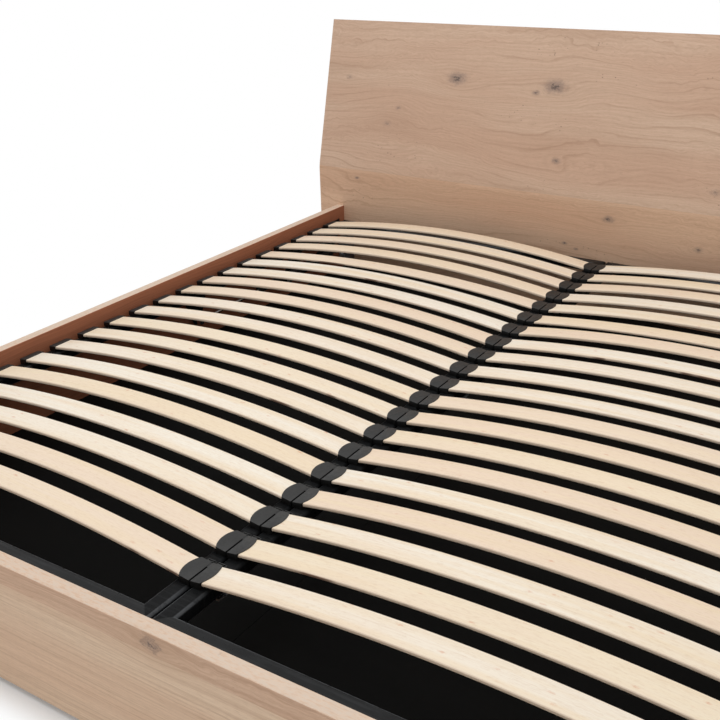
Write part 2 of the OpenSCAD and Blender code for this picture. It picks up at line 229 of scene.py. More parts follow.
def bell(square, fall=1.0):
    """A bell from 1 down to 0 as a squared distance grows."""
    return calc("POWER", 2.718, square * -fall)


def blend(factor, a, b, mode="MIX"):
    """Mixes two colours by a factor."""
    made = node(tree_of(factor, a, b), "ShaderNodeMix", {0: factor}, data_type="RGBA",
                blend_type=mode)
    for key, tone in ((6, a), (7, b)):
        feed(made, key, tone if isinstance(tone, Wire) else (*tone[:3], 1.0))
    return out(made, 2)


def vector(x, y, z):
    """A vector from its X, Y and Z."""
    return out(node(tree_of(x, y, z), "ShaderNodeCombineXYZ", {0: x, 1: y, 2: z}))


def split(place):
    """The X, Y and Z of a vector."""
    return [Wire(socket) for socket in
            node(tree_of(place), "ShaderNodeSeparateXYZ", {0: place}).outputs]


def noise(place, scale=1.0, detail=2.0, rough=0.5):
    """Smooth noise from 0 to 1."""
    return out(node(tree_of(place), "ShaderNodeTexNoise", {
        "Vector": place, "Scale": scale, "Detail": detail, "Roughness": rough}), "Fac")


def grain(u, v, along, across, seed, detail=2.0, rough=0.5):
    """Noise drawn out along the grain: so many turns a metre along it and across it."""
    return noise(vector(u * along, v * across, seed), 1.0, detail, rough)


def band(value, low, high, to_low=0.0, to_high=1.0):
    """Eases from one value to another as the given value goes from low to high."""
    return out(node(tree_of(value), "ShaderNodeMapRange", {
        "Value": value, "From Min": low, "From Max": high, "To Min": to_low,
        "To Max": to_high}, interpolation_type="SMOOTHSTEP"))


def cells(u, v, seed):
    """Distance to the middle of the nearest cell, and that cell's own random number."""
    made = node(tree_of(u), "ShaderNodeTexVoronoi",
                {"Vector": vector(u, v, seed), "Scale": 1.0, "Randomness": 1.0})
    colour = node(tree_of(u), "ShaderNodeSeparateColor", {0: made.outputs["Color"]})
    return out(made, "Distance"), out(colour)


def upward(material):
    """How far a surface faces up, from -1 to 1."""
    return split(out(node(material.node_tree, "ShaderNodeNewGeometry"), "Normal"))[2]


def tint(tone, red, green, blue):
    """A tone with each of its parts scaled."""
    return Vector((tone[0] * red, tone[1] * green, tone[2] * blue))


def layer(colour, *tones):
    """Lays tones over a colour, each by a factor, or by a value, the two ends between
    which its factor rises and the most that it comes to."""
    for factor, *ends, tone in tones:
        if ends:
            factor = band(factor, ends[0], ends[1], 0.0, ends[2])
        colour = blend(factor, colour, tone)
    return colour


def new_material(name):
    """A material with its shader and the place on the object."""
    made = bpy.data.materials.new(name)
    made.use_nodes = True
    tree = made.node_tree
    place = out(node(tree, "ShaderNodeTexCoord"), "Object")
    return made, tree.nodes["Principled BSDF"], place


def surface(shader, colour, rough, specular=0.5):
    """Sets a shader's colour, roughness and specular level."""
    feed(shader, "Base Color", colour)
    feed(shader, "Roughness", rough)
    shader.inputs["Specular IOR Level"].default_value = specular


def bump(shader, height, distance, strength):
    """Gives a shader fine relief."""
    feed(shader, "Normal", node(tree_of(shader), "ShaderNodeBump", {
        "Height": height, "Distance": distance, "Strength": strength}))


# ---------------- finishes

# Knots of the headboard: place along it, height up its face, radius, darkness.
HEAD_KNOTS = (
    (-0.575, 0.733, 0.017, 0.95), (-0.237, 0.728, 0.018, 1.0), (-0.297, 0.706, 0.007, 0.8),
    (-0.985, 0.712, 0.009, 0.45), (-0.781, 0.624, 0.006, 0.6), (-0.818, 0.570, 0.010, 0.45),
    (-0.200, 0.509, 0.008, 0.8), (-0.012, 0.352, 0.010, 0.8), (-0.918, 0.377, 0.005, 0.8),
    (-0.148, 0.258, 0.005, 0.8), (-0.108, 0.244, 0.004, 0.8), (0.265, 0.298, 0.008, 0.6),
    (0.29, 0.47, 0.010, 0.5), (0.62, 0.66, 0.016, 0.9), (0.86, 0.44, 0.009, 0.7),
)
FOOT_KNOTS = (
    (0.070, 0.2515, 0.0125, 0.62), (0.62, 0.245, 0.009, 0.6), (-0.71, 0.09, 0.012, 0.8))
LEFT_KNOTS = ((-0.55, 0.15, 0.011, 0.8), (0.42, 0.21, 0.009, 0.7))
RIGHT_KNOTS = ((0.60, 0.12, 0.012, 0.8), (-0.25, 0.19, 0.008, 0.7))


def board_plane(name, along, axes):
    """Places along a board's grain, across it and into its depth."""
    u, v, depth = axes[0], axes[2], axes[1]
    if along == "y":
        u, depth = depth, u
    if name == "oak_headboard_upper":
        lean = bpy.context.scene.bed_panels.lean
        behind, above = axes[1] - HEAD_FACE, axes[2] - BEND
        v = behind * math.sin(lean) + above * math.cos(lean) + BEND
        # Depth is measured square to the leaning face.
        depth = behind * math.cos(lean) - above * math.sin(lean) + HEAD_FACE
    # The edges' grain is drawn on from the face by the board's depth.
    return u, v + depth * SKEW, depth


def knot_layers(u, v, knots, face, ragged, seed):
    """Grain opened round the knots, and their halos, hearts, rings and reach."""
    wobble_u = grain(u, v, 55.0, 80.0, seed + 41.0, 3.0, 0.65) - 0.5
    wobble_v = grain(u, v, 60.0, 85.0, seed + 43.0, 3.0, 0.65) - 0.5
    open_v, halo, heart, ring, reach = v, 0.0, 0.0, 0.0, 0.0
    for knot_u, knot_v, radius, dark in knots:
        off_u, off_v = u - knot_u, v - (knot_v + SKEW * face)
        far_u, far_v = off_u / (radius * 6.0), off_v / (radius * 2.4)
        near = bell(far_u * far_u + far_v * far_v)
        open_v = open_v - off_v * near * 0.85
        eye_u = (off_u + wobble_u * (radius * ragged)) / (radius * 1.35)
        eye_v = (off_v + wobble_v * (radius * ragged * 0.6)) / (radius * 0.75)
        eye = eye_u * eye_u + eye_v * eye_v
        shell = (calc("SQRT", eye) - 1.05) / 0.2
        reach = calc("MAXIMUM", reach, near * dark)
        halo = calc("MAXIMUM", halo, bell(eye, 0.42) * dark)
        heart = calc("MAXIMUM", heart, bell(eye, 2.6) * dark)
        ring = calc("MAXIMUM", ring, bell(shell * shell) * dark)
    return open_v, halo, heart, ring, reach


def growth_lines(u, v, open_v, plain, seed):
    """Bold and thin growth lines, their ripple, and the flow that finer figure follows."""
    panel = plain is None
    sway = grain(u, open_v, 1.7 if panel else 1.25, 3.6 if panel else 2.7, seed)
    ripple = grain(u, open_v, 4.5, 13.0, seed + 3.0)
    zone = band(grain(u, v, 1.9, 6.5, seed + 21.0, 1.0), 0.47, 0.62)
    curl = (grain(u, v, 17.0, 26.0, seed + 23.0, 2.0, 0.6) - 0.5) * zone
    turns = sway * 6.5 + (ripple * 1.1 + curl * (1.6 if panel else 1.1))
    if not panel:
        turns = turns * band(plain, 0.0, 1.0, 1.0, 0.18)
    turns = turns + open_v * LINES
    if not panel:
        turns = turns + plain * 7.37
    mask = grain(u, v, 2.4, 11.0, seed + 11.0)
    bold = calc("FRACT", turns)
    bold = calc("POWER", band(bold, 0.62, 0.93) * band(bold, 0.93, 1.0, 1.0, 0.0), 2.0)
    bold = bold * band(mask, 0.42, 0.64, 0.05, 1.0)
    thin = calc("FRACT", turns * 3.6 + grain(u, open_v, 6.0, 34.0, seed + 31.0) * 1.6)
    thin = band(abs(thin - 0.5), 0.08, 0.48) * band(mask, 0.4, 0.64, 1.0, 0.35)
    return bold, thin, ripple, open_v + (turns - open_v * LINES) * 0.012


def oak_tones(name):
    """The main, pale, rosy and brown tones of a board."""
    sizes = bpy.context.scene.bed_panels
    oak = Vector(sizes.head if "headboard" in name else sizes.oak)
    if name == "oak_headboard_lower":
        oak = tint(oak, 1.08, 1.02, 0.95)
    return (oak, tint(oak, 1.06, 1.08, 1.09), tint(oak, 0.97, 0.91, 0.89),
            tint(oak, 0.62, 0.53, 0.47))


def sheened_oak(u, depth, cloud, rosy, brown, colour, seed):
    """The top edges painted paler, a painted sheen of the light on them, with short open pores.
    """
    sheen = Vector(bpy.context.scene.bed_panels.sheened)
    dash = grain(u, depth, 60.0, 300.0, seed + 51.0, 2.0, 0.7)
    return layer(
        sheen,
        (dash, 0.38, 0.66, 0.8, rosy),
        (dash, 0.48, 0.66, 0.62, brown),
        (cloud, 0.35, 0.65, 0.5, sheen * 1.06),
        (0.25, colour))


def stained_oak(height, streak, bold):
    """The stain on the side rails' inner faces, darker towards the bottom."""
    stain = Vector(bpy.context.scene.bed_panels.inner)
    return layer(
        stain * 0.55,
        (band(height, 0.12, 0.26, 0.55, 1.0), stain),
        (streak, 0.3, 0.7, 0.45, stain * 0.55),
        (bold * 0.4, stain * 0.4))


def oak_finish(name, along, knots, seed):
    """Oiled knotty oak whose growth lines run along X or Y and open round each knot."""
    made, shader, place = new_material(name)
    axes = split(place)
    panel = "headboard" in name
    u, v, depth = board_plane(name, along, axes)
    if panel:
        v, face = v - SKEW * HEAD_FACE, 0.0
    elif along == "x":
        face = FOOT_LOW[1]
    else:
        face = (INNER + RAIL_THICK) * (-1.0 if "left" in name else 1.0)
    open_v, halo, heart, ring, reach = knot_layers(u, v, knots, face,
                                                   2.6 if panel else 4.5, seed)
    plain, heavy, light = None, 0.44, 0.17
    if not panel:
        # Rails are glued up from staves; only the top one is wild.
        seam = RAIL_TOP - STAVE
        plain = band(axes[2], seam - JOINT, seam + JOINT, 1.0, 0.0)
        heavy, light = band(plain, 0.0, 1.0, 0.42, 0.12), band(plain, 0.0, 1.0, 0.2, 0.08)
    bold, thin, ripple, flow = growth_lines(u, v, open_v, plain, seed)

    # Finer figure follows the growth lines.
    cloud = grain(u, flow, 0.9, 8.0, seed + 17.0, 3.0)
    streak = grain(u, flow, 2.2, 150.0 if panel else 230.0, seed + 5.0, 3.0, 0.62)
    fibre = grain(u, flow, 14.0, 700.0, seed + 6.0, 2.0, 0.6)
    speck = grain(u, flow, 42.0, 380.0, seed + 7.0, 2.0, 0.7)
    pores = band(grain(u, flow, 60.0, 1500.0, seed + 8.0, 1.0), 0.58, 0.7)
    oak, pale, rosy, brown = oak_tones(name)
    colour = layer(
        rosy,
        (cloud, 0.34, 0.66, 1.0, pale),
        (streak, 0.4, 0.74, 0.24 if panel else 0.5, brown),
        (band(streak, 0.24, 0.42, 0.35, 0.0), tint(oak, 1.1, 1.13, 1.15)),
        (thin * light, brown),
        (bold * heavy, brown),
        (fibre, 0.35, 0.75, 0.2, brown),
        (speck, 0.48, 0.76, 0.26, brown),
        (pores * 0.28, brown * 0.8))
    if not panel:
        # The wild top stave is a little darker and rosier than the rest.
        rose = blend(1.0, colour, (0.88, 0.8, 0.78), "MULTIPLY")
        colour = blend(plain, rose, colour)

    # Browner patches, pin knots in loose clusters, and darker wood round the knots.
    patch = grain(u, flow, 1.6, 9.0, seed + 61.0)
    away, pick = cells(u * 75.0, v * 110.0, seed)
    pins = band(away, 0.1, 0.22, 1.0, 0.0) * band(pick, 0.45, 0.95)
    pins = pins * band(grain(u, v, 2.6, 7.0, seed + 71.0, 1.0), 0.56, 0.64)
    curly = reach * band(ripple, 0.3, 0.6, 0.45, 1.0)
    mottle = grain(u, v, 180.0, 260.0, seed + 47.0, 3.0, 0.7)
    halo = halo * band(mottle, 0.25, 0.65, 0.75, 1.15)
    heart = heart * band(mottle, 0.3, 0.6, 0.35, 1.1)
    rim = 0.10 if panel else 0.60
    colour = layer(
        colour,
        (patch, 0.54, 0.74, 0.24, brown),
        (pins * 0.75, (0.21, 0.13, 0.09)),
        (curly * (0.16 if panel else 0.62), brown),
        (halo, 0.06, 0.85, 0.72, (0.3, 0.215, 0.175)),
        (ring * band(mottle, 0.3, 0.6, rim * 0.4, rim), (0.19, 0.12, 0.09)),
        (heart, 0.12, 0.75, 0.85, (0.115, 0.085, 0.073)))

    # Faces that look up are painted paler: a painted sheen of the light on the tops.
    sheened = sheened_oak(u, depth, cloud, rosy, brown, colour, seed)
    colour = blend(band(upward(made), 0.8, 0.97), colour, sheened)
    if along == "y":
        inside = band(abs(axes[0]), INNER + 0.0004, INNER + 0.0016, 1.0, 0.0)
        colour = blend(inside, colour, stained_oak(axes[2], streak, bold))
    surface(shader, colour, bold * 0.08 + band(fibre, 0.2, 0.8, 0.5, 0.64), 0.35)
    bump(shader, streak * 0.5 + (bold + pores) * -0.5, 0.0005, 0.35)
    return made


def softwood_finish():
    """Plain sawn pine for the hidden cleats and bearers."""
    made, shader, place = new_material("sawn_pine")
    x, y, z = split(place)
    rings = noise(vector(x * 60.0, y * 1.5, z * 60.0), 1.0, 3.0)
    saw = noise(vector(x * 90.0, y * 380.0, z), 1.0, 1.0)
    colour = layer(
        (0.62, 0.43, 0.24),
        (rings, 0.35, 0.65, 1.0, (0.78, 0.6, 0.38)),
        (saw, 0.45, 0.75, 0.2, (0.5, 0.34, 0.19)))
    surface(shader, colour, band(saw, 0.2, 0.8, 0.65, 0.85))
    bump(shader, saw, 0.0004, 0.4)
    return made


def birch_finish():
    """Bonded birch: a fine long grain, its own tone for each slat, and plies on the edges."""
    made, shader, place = new_material("bonded_birch")
    x, y, _ = split(place)
    tone, height = (
        out(node(made.node_tree, "ShaderNodeAttribute", attribute_name=key), "Fac")
        for key in ("slat_tone", "slat_ply"))
    seed = tone * 37.0
    across = y + grain(x, y, 3.0, 14.0, seed) * 0.014
    figure = grain(x, across, 1.6, 60.0, seed, 3.0)
    streak = grain(x, across, 3.0, 260.0, seed, 3.0, 0.6)
    fibre = grain(x, across, 20.0, 900.0, seed)
    speck = grain(x, across, 75.0, 360.0, seed, 2.0, 0.7)
    patch = grain(x, y, 3.6, 16.0, seed)
    warm = grain(x, across, 1.3, 30.0, seed + 9.0)
    ragged = grain(x, y, 190.0, 420.0, seed, 3.0, 0.7)
    away, pick = cells(x * 24.0, y * 62.0, seed)
    flecks = band(away + (ragged - 0.5) * 0.45, 0.02, 0.2, 1.0, 0.0)
    flecks = flecks * band(pick, 0.35, 0.95)
    birch = Vector(bpy.context.scene.bed_slats.birch)
    honey, rose = tint(birch, 0.97, 0.90, 0.77), tint(birch, 0.95, 0.86, 0.80)
    colour = layer(
        tint(birch, 1.02, 1.06, 1.10),
        (tone, 0.15, 0.55, 1.0, birch),
        (tone, 0.55, 0.95, 1.0, rose),
        (calc("FRACT", tone * 5.3), 0.55, 0.95, 0.7, honey),
        (figure, 0.42, 0.72, 0.55, honey),
        (patch, 0.48, 0.78, 0.5, rose),
        (warm, 0.54, 0.68, 0.55, tint(birch, 0.96, 0.88, 0.75)),
        (streak, 0.45, 0.8, 0.22, (0.66, 0.47, 0.31)),
        (fibre, 0.45, 0.8, 0.12, (0.55, 0.38, 0.24)),
        (speck, 0.46, 0.74, 0.26, (0.6, 0.42, 0.27)),
        (flecks * 0.6, (0.66, 0.32, 0.18)))
    # Plies show on the round long edges, with dark splits here and there.
    plies = band(calc("FRACT", height * 900.0), 0.3, 0.6)
    crack = band(grain(x, y, 3.4, 9.0, seed + 5.0, 3.0, 0.6), 0.635, 0.67)
    crack = crack * band(height, 0.0002, 0.0009, 1.0, 0.0)
    colour = layer(
        colour,
        (band(height, 0.0014, 0.0031, 1.0, 0.0) * 0.7,
         blend(plies, (0.74, 0.57, 0.43), (0.87, 0.73, 0.58))),
        (crack * 0.85, (0.17, 0.08, 0.05)))
    surface(shader, colour, band(fibre, 0.2, 0.8, 0.44, 0.58), 0.35)
    bump(shader, fibre + streak * 0.6, 0.0003, 0.25)
    return made


def plastic_finish(name, tone, shine, grit=900.0, rim=0.0):
    """Moulded black plastic with a fine matt texture and scuffs; with rim, a painted highlight
    on the rounded rims and painted shade on the side walls.
    """
    made, shader, place = new_material(name)
    fine = noise(place, grit)
    leather = noise(place, 420.0, 2.0, 0.6)
    cloud = noise(place, 30.0, 3.0)
    scuff = noise(place, 160.0, 4.0, 0.7)
    tone = Vector(tone)
    colour = layer(
        tone * 0.85,
        (cloud, 0.3, 0.7, 1.0, tone * 1.15),
        (leather, 0.35, 0.75, 0.45, tone * 1.8),
        (scuff, 0.6, 0.75, 0.3, tone * 1.9))
    if rim:
        # Painted highlight: the rounded rims are painted paler, and painted shade keeps the
        # side walls deep black.
        facing = upward(made)
        edge = band(facing, 0.35, 0.65) * band(facing, 0.9, 0.975, 1.0, 0.0)
        colour = blend(band(facing, 0.15, 0.55), tone * 0.12, colour)
        colour = blend(edge * rim, colour, tone * 3.2)
    surface(shader, colour, band(scuff, 0.3, 0.75, shine, shine + 0.15), 0.30)
    bump(shader, fine + leather, 0.0003, 0.35)
    return made


def coat_finish(name, depth, shine):
    """Black powder coat with orange peel and rubbed patches, and a painted highlight along the
    tubes' round edges.
    """
    made, shader, place = new_material(name)
    x, y, _ = split(place)
    cloud = noise(place, 18.0, 3.0)
    rub = noise(place, 75.0, 5.0, 0.7)
    brushed = grain(x, y, 9.0, 140.0, 3.0, 3.0, 0.65)
    facing = abs(upward(made))
    # Painted highlight: the round edges between the top and the sides are painted paler, broken
    # up by the rub noise.
    edge = band(facing, 0.25, 0.6) * band(facing, 0.9, 0.985, 1.0, 0.0)
    edge = edge * band(rub, 0.25, 0.55, 0.35, 1.0)
    # The painted highlight is strongest at the foot end and falls to the given depth towards
    # the head, where holders and slats shade the tubes.
    highlight_reach = band(y, FOOT_IN + 0.075, FOOT_IN + 0.16, 1.0, depth)
    coat = Vector(bpy.context.scene.bed_steel.coat)
    colour = layer(
        coat * 0.8,
        (cloud, 0.3, 0.7, 1.0, coat * 1.25),
        (rub, 0.58, 0.74, 0.5, coat * 2.4),
        (brushed, 0.46, 0.72, 0.6, coat * 3.4),
        (edge * highlight_reach, coat * 10.5))
    surface(shader, colour, band(rub, 0.3, 0.75, 0.26, 0.4), shine)
    bump(shader, noise(place, 420.0), 0.0002, 0.25)
    return made


def metal_finish(name, tone, rough):
    """Bright metal with fine turning lines and dull patches."""
    made, shader, place = new_material(name)
    x, y, z = split(place)
    lines = noise(vector(x * 40.0, y * 900.0, z * 900.0))
    cloud = noise(place, 55.0, 4.0, 0.65)
    tone = Vector(tone)
    surface(shader, blend(band(cloud, 0.35, 0.7), tone * 0.85, tone),
            lines * 0.1 + band(cloud, 0.3, 0.8, rough, rough + 0.14))
    feed(shader, "Metallic", 1.0)
    bump(shader, lines, 0.0001, 0.2)
    return made


def board_finish():
    """Matt black faced board of the storage floor, with a faint dusty bloom."""
    made, shader, place = new_material("black_faced_board")
    cloud = noise(place, 4.0, 4.0, 0.6)
    grit = noise(place, 700.0)
    colour = layer(
        (0.003, 0.0029, 0.0026),
        (cloud, 0.35, 0.75, 1.0, (0.006, 0.0057, 0.0052)),
        (grit, 0.62, 0.78, 0.35, (0.014, 0.0135, 0.0125)))
    surface(shader, colour, band(cloud, 0.3, 0.7, 0.6, 0.72), 0.08)
    bump(shader, grit, 0.0002, 0.3)
    return made


# ---------------- mesh helpers

def add_object(name, data):
    """Adds an object to the scene."""
    made = bpy.data.objects.new(name, data)
    bpy.context.scene.collection.objects.link(made)
    return made


def mesh_from(name, built):
    """Turns a bmesh into a mesh."""
    mesh = bpy.data.meshes.new(name)
    built.to_mesh(mesh)
    built.free()
    return mesh


def object_from(name, built, material):
    """A mesh object from a bmesh, with its normals set outwards."""
    bmesh.ops.recalc_face_normals(built, faces=built.faces[:])
    mesh = mesh_from(name, built)
    mesh.materials.append(material)
    return add_object(name, mesh)


def finish_piece(mesh_object, body, slot, *nodes):
    """Sets a piece on its body, in place of the CAD nodes it stands for."""
    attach(mesh_object, body)
    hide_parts(*nodes)


def paint_nodes(material, *names):
    """Gives CAD nodes their finish."""
    for name in names:
        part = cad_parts[name]
        part.data.materials.clear()
        part.data.materials.append(material)


def smooth(mesh, degrees):
    """Shades a mesh smooth, with creases where it turns by more than an angle."""
    mesh.shade_smooth()
    mesh.set_sharp_from_angle(angle=math.radians(degrees))


def add_prism(built, outline, low, high, axis="z"):
    """A closed prism of an outline, from low to high along X or Z; returns its top."""
    def at(a, b, c):
        return (a, b, c) if axis == "z" else (c, a, b)
    bottom = [built.verts.new(at(a, b, low)) for a, b in outline]
    top = [built.verts.new(at(a, b, high)) for a, b in outline]
    built.faces.new(bottom[::-1])
    built.faces.new(top)
    bridge(built, bottom, top)
    return top


def bridge(built, lower, upper):
    """Joins two rings of vertices with a band of faces."""
    for k, vert in enumerate(lower):
        j = (k + 1) % len(lower)
        built.faces.new((vert, lower[j], upper[j], upper[k]))


def add_block(built, low, high):
    """A box between its lowest and highest corners."""
    outline = [(low[0], low[1]), (high[0], low[1]), (high[0], high[1]), (low[0], high[1])]
    add_prism(built, outline, low[2], high[2])


def round_edges(built, edges, width):
    bmesh.ops.bevel(built, geom=edges, offset=width, segments=2, profile=0.5,
                    affect="EDGES", clamp_overlap=True)


def mirror(built):
    """Turns a bmesh over from right to left."""
    for v in built.verts:
        v.co.x = -v.co.x
    bmesh.ops.reverse_faces(built, faces=built.faces[:])


def loose_parts(built):
    """Lowest and highest corner of each loose piece of a mesh."""
    seen, groups = set(), []
    for start in built.verts:
        if start in seen:
            continue
        seen.add(start)
        stack, members = [start], []
        while stack:
            v = stack.pop()
            members.append(v.co.copy())
            for edge in v.link_edges:
                other = edge.other_vert(v)
                if other not in seen:
                    seen.add(other)
                    stack.append(other)
        groups.append([Vector([end(c[k] for c in members) for k in range(3)])
                       for end in (min, max)])
    return groups


# ---------------- Geometry Nodes

SOCKETS = {int: "NodeSocketInt", float: "NodeSocketFloat", type(None): "NodeSocketObject"}


def new_tree(name, **defaults):
    """A Geometry Nodes tree with named inputs, and the wires of those inputs."""
    tree = bpy.data.node_groups.new(name, "GeometryNodeTree")
    for way in ("INPUT", "OUTPUT"):
        tree.interface.new_socket("Geometry", in_out=way, socket_type="NodeSocketGeometry")
    for key, default in defaults.items():
        made = tree.interface.new_socket(key.replace("_", " "), in_out="INPUT",
                                         socket_type=SOCKETS[type(default)])
        if default is not None:
            made.default_value = default
    return tree, {socket.name: Wire(socket)
                  for socket in node(tree, "NodeGroupInput").outputs if socket.name}


def end_tree(tree, placed, material):
    """Ends a tree by making its instances real and giving them their material."""
    real = node(tree, "GeometryNodeRealizeInstances", {0: placed})
    painted = node(tree, "GeometryNodeSetMaterial", {"Geometry": real, "Material": material})
    node(tree, "NodeGroupOutput", {0: painted})
    return tree


def bake(made, tree, values, name, material):
    """Runs a tree on an object and puts a plain mesh object in its place."""
    modifier = made.modifiers.new(tree.name, "NODES")
    modifier.node_group = tree
    for item in tree.interface.items_tree:
        if item.name in values:
            modifier[item.identifier] = values[item.name]
    depsgraph = bpy.context.evaluated_depsgraph_get()
    mesh = bpy.data.meshes.new_from_object(made.evaluated_get(depsgraph))
    mesh.name = name
    mesh.materials.clear()
    mesh.materials.append(material)
    mesh.polygons.foreach_set("material_index", [0] * len(mesh.polygons))
    smooth(mesh, 38)
    bpy.data.objects.remove(made)
    return add_object(name, mesh)


def slat_points(tree, given, start, seat):
    """Points down a bank, one for each slat."""
    return node(tree, "GeometryNodeMeshLine", {
        "Count": given["Count"], "Start Location": vector(start, given["First"], seat),
        "Offset": vector(0.0, given["Pitch"] * -1.0, 0.0)}, mode="OFFSET")


# Points along a slat's bow and round its edge, and the spread of the slats' rise.
BOW_POINTS, EDGE_POINTS = 33, 3
LEAST_RISE, MOST_RISE = 0.93, 1.06


def slat_tree(material):
    """Bows one slat between its ends and repeats it down the bank with its own tone."""
    tree, given = new_tree(
        "bowed_slats", Count=20, Pitch=0.093, First=0.844, Start=0.0, Span=0.95, Seat=0.23,
        Width=0.053, Thickness=0.008, Rise=0.036, Edge=0.0028, Slack_Slat=-1, Slack=0.8,
        Seed=3)
    line = node(tree, "GeometryNodeCurvePrimitiveLine",
                {"End": vector(given["Span"], 0.0, 0.0)})
    fine = node(tree, "GeometryNodeResampleCurve", {"Curve": line, "Count": BOW_POINTS})
    along = out(node(tree, "GeometryNodeSplineParameter"), "Factor")
    # A circle's bow is near a parabola for so shallow a rise.
    lift = along * (1.0 - along) * 4.0 * given["Rise"]
    bowed = node(tree, "GeometryNodeSetPosition",
                 {"Geometry": fine, "Offset": vector(0.0, 0.0, lift)})
    section = node(tree, "GeometryNodeCurvePrimitiveQuadrilateral",
                   {"Width": given["Width"], "Height": given["Thickness"]})
    eased = node(tree, "GeometryNodeFilletCurve",
                 {"Curve": section, "Radius": given["Edge"], "Count": EDGE_POINTS},
                 mode="POLY")
    # The plies are painted by their distance in from a slat's long edge.
    x, y, _ = split(out(node(tree, "GeometryNodeInputPosition")))
    inset = given["Width"] * 0.5 - abs(x)
    rim = node(tree, "GeometryNodeStoreNamedAttribute",
               {"Geometry": eased, "Name": "slat_ply", "Value": inset - y * 0.12},
               data_type="FLOAT", domain="POINT")
    swept = node(tree, "GeometryNodeCurveToMesh",
                 {"Curve": bowed, "Profile Curve": rim, "Fill Caps": True})
    # Each slat rises a little more or less, and one of the bank has gone slack.
    strain = node(tree, "FunctionNodeRandomValue",
                  {"Seed": given["Seed"], 2: LEAST_RISE, 3: MOST_RISE},
                  data_type="FLOAT")
    slack = node(tree, "FunctionNodeCompare",
                 {2: node(tree, "GeometryNodeInputIndex"), 3: given["Slack Slat"]},
                 data_type="INT", operation="EQUAL")
    pick = node(tree, "GeometryNodeSwitch",
                {"Switch": slack, "False": out(strain, 1), "True": given["Slack"]},
                input_type="FLOAT")
    placed = node(tree, "GeometryNodeInstanceOnPoints", {
        "Points": slat_points(tree, given, given["Start"], given["Seat"]),
        "Instance": swept, "Scale": vector(1.0, 1.0, pick)})
    tone = node(tree, "FunctionNodeRandomValue", {"Seed": given["Seed"]}, data_type="FLOAT")
    tinted = node(tree, "GeometryNodeStoreNamedAttribute",
                  {"Geometry": placed, "Name": "slat_tone", "Value": out(tone, 1)},
                  data_type="FLOAT", domain="INSTANCE")
    return end_tree(tree, tinted, material)


def repeat_tree(name, material):
    """Repeats the given piece down the bank, one for each slat."""
    tree, given = new_tree(name, Count=20, Pitch=0.093, First=0.844)
    placed = node(tree, "GeometryNodeInstanceOnPoints", {
        "Points": slat_points(tree, given, 0.0, 0.0), "Instance": given["Geometry"]})
    return end_tree(tree, placed, material)


def scatter_tree(name, material):
    """Sets one piece at each point, turned to the point's own facing."""
    tree, given = new_tree(name, Piece=None)
    piece = node(tree, "GeometryNodeObjectInfo", {"Object": given["Piece"]})
    facing = node(tree, "GeometryNodeInputNamedAttribute", {"Name": "facing"},
                  data_type="FLOAT_VECTOR")
    turn = node(tree, "FunctionNodeAlignRotationToVector", {"Vector": facing}, axis="Z")
    placed = node(tree, "GeometryNodeInstanceOnPoints", {
        "Points": given["Geometry"], "Instance": out(piece, "Geometry"), "Rotation": turn})
    return end_tree(tree, placed, material)


# ---------------- operators

class BED_OT_oak_panels(bpy.types.Operator):
    """Builds the headboard, the side rails and the foot rail with eased edges"""
    bl_idname = "bed.oak_panels"
    bl_label = "Oak Panels"

    def execute(self, context):
        sizes = context.scene.bed_panels
        t, lean, ridge = sizes.thickness, sizes.lean, sizes.ridge
        mitre = t * math.tan(lean / 2)
        length = (HEAD_HIGH[2] - BEND) / math.cos(lean)
        y, z = HEAD_FACE, BEND
        tip = (y + length * math.sin(lean), z + length * math.cos(lean))
        back = (tip[0] + t * math.cos(lean), tip[1] - t * math.sin(lean))
        # The ridge between the two boards is sanded to a long, shallow round.
        reach = ridge * math.tan(lean / 2)
        arc = [(y + ridge * (1 - math.cos(a)), z - reach + ridge * math.sin(a))
               for a in (lean * k / 8 for k in range(9))]
        for part, outline in (
                ("upper", [(y + t, z - mitre), back, tip] + arc[:3:-1]),
                ("lower", [(y, LOWER_LOW[2]), (y + t, LOWER_LOW[2]), (y + t, z - mitre)]
                 + arc[4::-1])):
            built = bmesh.new()
            add_prism(built, outline, -HEAD_HIGH[0], HEAD_HIGH[0], "x")
            # The mitred edges stay sharp where the two panels meet.
            round_edges(built, [e for e in built.edges if not all(
                z - reach - 0.001 < v.co.z < z + reach + 0.001 for v in e.verts)],
                sizes.bevel)
            oak = oak_finish("oak_headboard_" + part, "x", HEAD_KNOTS, 1.0)
            board = object_from(part + "_headboard_board", built, oak)
            smooth(board.data, 12)
            finish_piece(board, BED, "oak", "headboard_" + part)

        for cad, name, finish, along, knots, seed in (
                ("foot_rail", "foot_rail_board", "oak_foot_rail", "x", FOOT_KNOTS, 4.0),
                ("side_rail_left", "left_side_rail_board", "oak_rail_left", "y",
                 LEFT_KNOTS, 9.0),
                ("side_rail_right", "right_side_rail_board", "oak_rail_right", "y",
                 RIGHT_KNOTS, 13.0)):
            built = bmesh.new()
            add_block(built, *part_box(cad))
            # Of the side rails, only the long edges are rounded.
            round_edges(built, [e for e in built.edges if along == "x" or abs(
                e.verts[0].co.y - e.verts[1].co.y) > 1.0], sizes.bevel)
            board = object_from(name, built, oak_finish(finish, along, knots, seed))
            finish_piece(board, BED, "oak", cad)
        paint_nodes(bpy.data.materials["oak_headboard_lower"], "headboard_gussets")
        return {"FINISHED"}


class BED_OT_storage_floor(bpy.types.Operator):
    """Finishes the storage floor, cleats, bearers, feet, glides and rest pads"""
    bl_idname = "bed.storage_floor"
    bl_label = "Storage Floor"

    def execute(self, context):
        paint_nodes(board_finish(), "floor_panel_left", "floor_panel_right")
        paint_nodes(softwood_finish(), "floor_cleats_side", "floor_cleats_end",
                    "floor_bearers")
        paint_nodes(plastic_finish("glide_plastic", (0.03, 0.03, 0.03), 0.45),
                    "glides", "bearer_feet")
        paint_nodes(plastic_finish("pad_rubber", (0.018, 0.018, 0.018), 0.7, 500.0),
                    "rest_pads")
        return {"FINISHED"}


